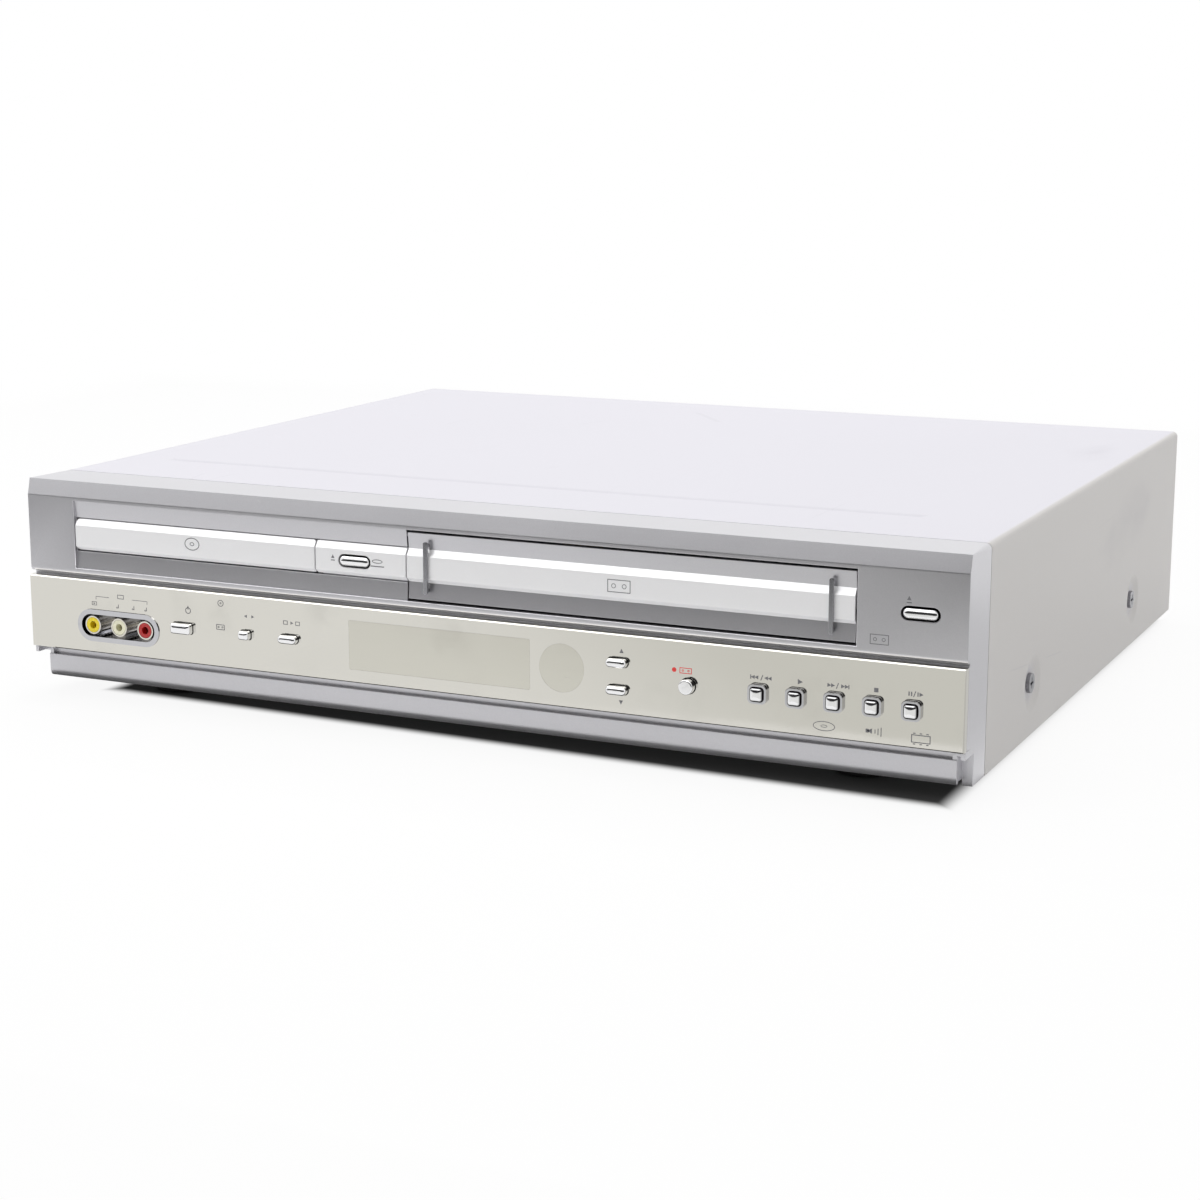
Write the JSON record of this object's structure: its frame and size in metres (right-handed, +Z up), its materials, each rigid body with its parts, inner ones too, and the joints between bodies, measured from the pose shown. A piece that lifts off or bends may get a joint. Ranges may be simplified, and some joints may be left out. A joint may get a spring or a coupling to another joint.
{
  "type": "disc and cassette deck",
  "caption": "Low wide player deck with a motor disc tray beside a hinged cassette door, a mirror finished control panel with sockets, window and buttons, and a sheet metal cover.",
  "frame": {"origin": "on the surface it stands on, under the middle of its overall box", "axes": "+X to the right seen from the front, +Y towards the back, +Z up; the front faces -Y"},
  "size_m": [0.43, 0.3788, 0.098],
  "materials": {
    "bezel_silver": "fine metallic silver paint, satin",
    "panel_mirror": "polished, mirror-like, faint warm tint",
    "window_smoke": "clear window film over the mirror panel",
    "cover_paint": "pale silver powder coat, very fine texture",
    "zinc_steel": "zinc plated sheet",
    "rear_steel": "plain grey",
    "black_plastic": "moulded, fine grain",
    "rubber_black": "matt",
    "door_silver": "light metallic silver paint",
    "chrome_trim": "bright plating",
    "button_silver": "plated plastic, satin",
    "yellow_plastic": "moulded",
    "white_plastic": "moulded",
    "red_plastic": "moulded",
    "nickel": "nickel plated sleeve",
    "screw_steel": "zinc plated",
    "board_green": "solder mask over glass fibre",
    "board_tan": "phenolic board",
    "parts_dark": "electronic parts",
    "tube_glass": "display tube",
    "gear_acetal": "acetal",
    "drum_aluminium": "turned and polished",
    "motor_steel": "plated"
  },
  "bodies": {
    "case": {"front_bezel": "bezel_silver", "control_panel": "panel_mirror", "panel_windows": "window_smoke", "jack_recess": "chrome_trim", "jack_sleeves": "nickel", "yellow_jack_inserts": "yellow_plastic", "white_jack_inserts": "white_plastic", "red_jack_inserts": "red_plastic", "button_block": "door_silver", "top_cover": "cover_paint", "chassis_base": "zinc_steel", "rear_panel": "rear_steel", "feet": "rubber_black", "cover_screws": "screw_steel", "rear_screws": "screw_steel", "button_rings": "chrome_trim", "front_board": "board_green", "front_board_parts": "parts_dark", "display_tube": "tube_glass", "deck_plate": "zinc_steel", "lower_drum": "drum_aluminium", "deck_motors": "motor_steel", "tape_guides": "screw_steel", "carriage_guides": "zinc_steel", "loader_frame": "black_plastic", "main_board": "board_green", "power_board": "board_tan", "board_parts": "parts_dark", "tuner_unit": "zinc_steel", "cord_gland": "black_plastic"},
    "tray": {"disc_tray": "black_plastic", "tray_front": "door_silver"},
    "tray_gear": {"tray_drive_gear": "gear_acetal"},
    "traverse": {"traverse_frame": "motor_steel"},
    "turntable": {"disc_turntable": "black_plastic"},
    "sled": {"laser_sled": "parts_dark"},
    "clamp_puck": {"disc_clamp": "black_plastic"},
    "flap": {"cassette_door": "door_silver", "door_bars": "chrome_trim"},
    "carriage": {"cassette_carriage": "zinc_steel"},
    "head_drum": {"upper_drum": "drum_aluminium"},
    "capstan_rotor": {"capstan": "motor_steel"},
    "roller_arm": {"pinch_arm": "zinc_steel"},
    "roller": {"pinch_roller": "rubber_black"},
    "left_reel": {"supply_reel": "gear_acetal"},
    "right_reel": {"takeup_reel": "gear_acetal"},
    "cam": {"cam_gear": "gear_acetal"},
    "open_close_key": {"open_close_button": "button_silver"},
    "eject_key": {"eject_button": "button_silver"},
    "power_key": {"power_button": "button_silver"},
    "source_key": {"source_button": "button_silver"},
    "copy_key": {"copy_button": "button_silver"},
    "channel_up_key": {"channel_up_button": "button_silver"},
    "channel_down_key": {"channel_down_button": "button_silver"},
    "record_key": {"record_button": "button_silver"},
    "rewind_key": {"rewind_button": "button_silver"},
    "play_key": {"play_button": "button_silver"},
    "forward_key": {"forward_button": "button_silver"},
    "stop_key": {"stop_button": "button_silver"},
    "pause_key": {"pause_button": "button_silver"}
  },
  "joints": [
    {"name": "tray_slide", "type": "slide", "parent": "case", "child": "tray", "axis": [0, -1, 0], "range_m": [0, 0.145]},
    {"name": "tray_gear_spin", "type": "hinge", "parent": "case", "child": "tray_gear", "pos_m": [-0.0867, -0.1386, 0.069], "axis": [0, 0, -1], "range_deg": [0, 832]},
    {"name": "traverse_lift", "type": "hinge", "parent": "case", "child": "traverse", "pos_m": [-0.12845, 0.009, 0.061], "axis": [-1, 0, 0], "range_deg": [0, 4.2]},
    {"name": "disc_spin", "type": "hinge", "parent": "traverse", "child": "turntable", "pos_m": [-0.12845, -0.10727, 0.06048], "axis": [0, -0.0732, 0.9973], "continuous": true},
    {"name": "sled_slide", "type": "slide", "parent": "traverse", "child": "sled", "axis": [0, 0.9973, 0.0732], "range_m": [0, 0.034]},
    {"name": "clamp_spin", "type": "hinge", "parent": "case", "child": "clamp_puck", "pos_m": [-0.12845, -0.107, 0.0845], "axis": [0, 0, 1], "continuous": true},
    {"name": "flap_hinge", "type": "hinge", "parent": "case", "child": "flap", "pos_m": [0.07375, -0.182, 0.0872], "axis": [1, 0, 0], "range_deg": [0, 84], "stiffness_Nm_per_rad": 0.003, "springref_deg": -17.19},
    {"name": "carriage_drop", "type": "slide", "parent": "case", "child": "carriage", "axis": [0, 0, -1], "range_m": [0, 0.022]},
    {"name": "drum_spin", "type": "hinge", "parent": "case", "child": "head_drum", "pos_m": [0.05975, 0.0074, 0.0345], "axis": [0.0872, 0, 0.9962], "continuous": true},
    {"name": "capstan_spin", "type": "hinge", "parent": "case", "child": "capstan_rotor", "pos_m": [0.11775, -0.0166, 0.0315], "axis": [0, 0, 1], "continuous": true},
    {"name": "roller_arm_swing", "type": "hinge", "parent": "case", "child": "roller_arm", "pos_m": [0.13975, -0.0026, 0.0365], "axis": [0, 0, -1], "range_deg": [0, 25]},
    {"name": "roller_spin", "type": "hinge", "parent": "roller_arm", "child": "roller", "pos_m": [0.13456, -0.02603, 0.0515], "axis": [0, 0, 1], "continuous": true},
    {"name": "supply_reel_spin", "type": "hinge", "parent": "case", "child": "left_reel", "pos_m": [0.02775, -0.0986, 0.0365], "axis": [0, 0, 1], "continuous": true},
    {"name": "takeup_reel_spin", "type": "hinge", "parent": "case", "child": "right_reel", "pos_m": [0.11975, -0.0986, 0.0365], "axis": [0, 0, 1], "continuous": true},
    {"name": "cam_turn", "type": "hinge", "parent": "case", "child": "cam", "pos_m": [0.14575, 0.0354, 0.0345], "axis": [0, 0, 1], "range_deg": [0, 300]},
    {"name": "open_close_press", "type": "slide", "parent": "case", "child": "open_close_key", "axis": [0, 1, 0], "range_m": [0, 0.0008], "stiffness_N_per_m": 700, "springref_m": -0.001},
    {"name": "eject_press", "type": "slide", "parent": "case", "child": "eject_key", "axis": [0, 1, 0], "range_m": [0, 0.0008], "stiffness_N_per_m": 700, "springref_m": -0.001},
    {"name": "power_press", "type": "slide", "parent": "case", "child": "power_key", "axis": [0, 1, 0], "range_m": [0, 0.0008], "stiffness_N_per_m": 700, "springref_m": -0.001},
    {"name": "source_press", "type": "slide", "parent": "case", "child": "source_key", "axis": [0, 1, 0], "range_m": [0, 0.0008], "stiffness_N_per_m": 700, "springref_m": -0.001},
    {"name": "copy_press", "type": "slide", "parent": "case", "child": "copy_key", "axis": [0, 1, 0], "range_m": [0, 0.0008], "stiffness_N_per_m": 700, "springref_m": -0.001},
    {"name": "channel_up_press", "type": "slide", "parent": "case", "child": "channel_up_key", "axis": [0, 1, 0], "range_m": [0, 0.0008], "stiffness_N_per_m": 700, "springref_m": -0.001},
    {"name": "channel_down_press", "type": "slide", "parent": "case", "child": "channel_down_key", "axis": [0, 1, 0], "range_m": [0, 0.0008], "stiffness_N_per_m": 700, "springref_m": -0.001},
    {"name": "record_press", "type": "slide", "parent": "case", "child": "record_key", "axis": [0, 1, 0], "range_m": [0, 0.0008], "stiffness_N_per_m": 700, "springref_m": -0.001},
    {"name": "rewind_press", "type": "slide", "parent": "case", "child": "rewind_key", "axis": [0, 1, 0], "range_m": [0, 0.0008], "stiffness_N_per_m": 700, "springref_m": -0.001},
    {"name": "play_press", "type": "slide", "parent": "case", "child": "play_key", "axis": [0, 1, 0], "range_m": [0, 0.0008], "stiffness_N_per_m": 700, "springref_m": -0.001},
    {"name": "forward_press", "type": "slide", "parent": "case", "child": "forward_key", "axis": [0, 1, 0], "range_m": [0, 0.0008], "stiffness_N_per_m": 700, "springref_m": -0.001},
    {"name": "stop_press", "type": "slide", "parent": "case", "child": "stop_key", "axis": [0, 1, 0], "range_m": [0, 0.0008], "stiffness_N_per_m": 700, "springref_m": -0.001},
    {"name": "pause_press", "type": "slide", "parent": "case", "child": "pause_key", "axis": [0, 1, 0], "range_m": [0, 0.0008], "stiffness_N_per_m": 700, "springref_m": -0.001}
  ],
  "couplings": [
    {"joint": "tray_gear_spin", "follows": "tray_slide", "rad_per_m": 100}
  ]
}
